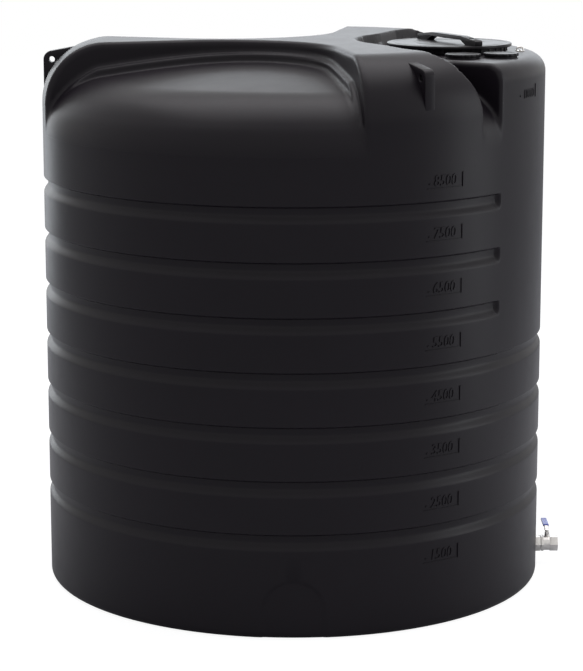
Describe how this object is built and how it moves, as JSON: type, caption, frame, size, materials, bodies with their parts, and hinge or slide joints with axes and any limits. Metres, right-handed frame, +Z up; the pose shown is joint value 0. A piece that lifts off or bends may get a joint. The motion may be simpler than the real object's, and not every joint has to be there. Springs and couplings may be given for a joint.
{
  "type": "rainwater tank",
  "caption": "Upright black moulded rainwater tank with wall grooves, three raised arms with lifting fins, a screwed manway lid, screwed ports and a lever ball valve at its base.",
  "frame": {"origin": "centre of the tank's flat base, on the ground", "axes": "+Z up along the tank's axis, +X towards the manway and the outlet valve, -Y towards the front of the picture"},
  "size_m": [2.451, 2.34, 2.559],
  "materials": {
    "black_polyethylene": "satin",
    "black_rubber": "matt",
    "stainless_steel": "satin",
    "white_ptfe": "smooth",
    "blue_vinyl": "gloss"
  },
  "bodies": {
    "tank": {"tank_shell": "black_polyethylene", "tank_crown": "black_polyethylene", "tank_platform": "black_polyethylene", "manway_neck": "black_polyethylene", "port_insert_a": "black_polyethylene", "port_insert_b": "black_polyethylene", "port_nut_a": "black_polyethylene", "port_nut_b": "black_polyethylene", "padlock_staple": "stainless_steel", "staple_screws": "stainless_steel", "outlet_flange": "stainless_steel", "outlet_inner_gasket": "black_rubber", "outlet_outer_gasket": "black_rubber", "outlet_nut": "stainless_steel", "valve_body": "stainless_steel", "valve_end_cap": "stainless_steel", "inner_ball_seat": "white_ptfe", "outer_ball_seat": "white_ptfe", "stem_packing": "white_ptfe", "gland_nut": "stainless_steel"},
    "lid_seal_ring": {"lid_seal": "black_rubber"},
    "lid": {"manway_lid": "black_polyethylene", "grip_bar": "black_polyethylene", "grip_bar_bolts": "stainless_steel", "grip_bar_nuts": "stainless_steel"},
    "port_seal_ring_a": {"port_seal_a": "black_rubber"},
    "cap_a": {"port_cap_a": "black_polyethylene"},
    "port_seal_ring_b": {"port_seal_b": "black_rubber"},
    "cap_b": {"port_cap_b": "black_polyethylene"},
    "valve_lever": {"lever": "stainless_steel", "lever_sleeve": "blue_vinyl", "lever_nut": "stainless_steel", "valve_stem": "stainless_steel", "valve_ball": "stainless_steel"}
  },
  "joints": [
    {"name": "lid_lift", "type": "slide", "parent": "tank", "child": "lid_seal_ring", "axis": [0, 0, 1], "range_m": [0, 0.45]},
    {"name": "lid_turn", "type": "hinge", "parent": "lid_seal_ring", "child": "lid", "pos_m": [0.725, 0, 2.514], "axis": [0, 0, 1], "range_deg": [0, 180]},
    {"name": "cap_a_lift", "type": "slide", "parent": "tank", "child": "port_seal_ring_a", "axis": [0, 0, 1], "range_m": [0, 0.15]},
    {"name": "cap_a_turn", "type": "hinge", "parent": "port_seal_ring_a", "child": "cap_a", "pos_m": [0.76082, -0.40944, 2.49], "axis": [0, 0, 1], "range_deg": [0, 270]},
    {"name": "cap_b_lift", "type": "slide", "parent": "tank", "child": "port_seal_ring_b", "axis": [0, 0, 1], "range_m": [0, 0.15]},
    {"name": "cap_b_turn", "type": "hinge", "parent": "port_seal_ring_b", "child": "cap_b", "pos_m": [0.93668, -0.3523, 2.49], "axis": [0, 0, 1], "range_deg": [0, 270]},
    {"name": "lever_turn", "type": "hinge", "parent": "tank", "child": "valve_lever", "pos_m": [1.22981, 0, 0.1], "axis": [0, 0, -1], "range_deg": [0, 90]}
  ]
}
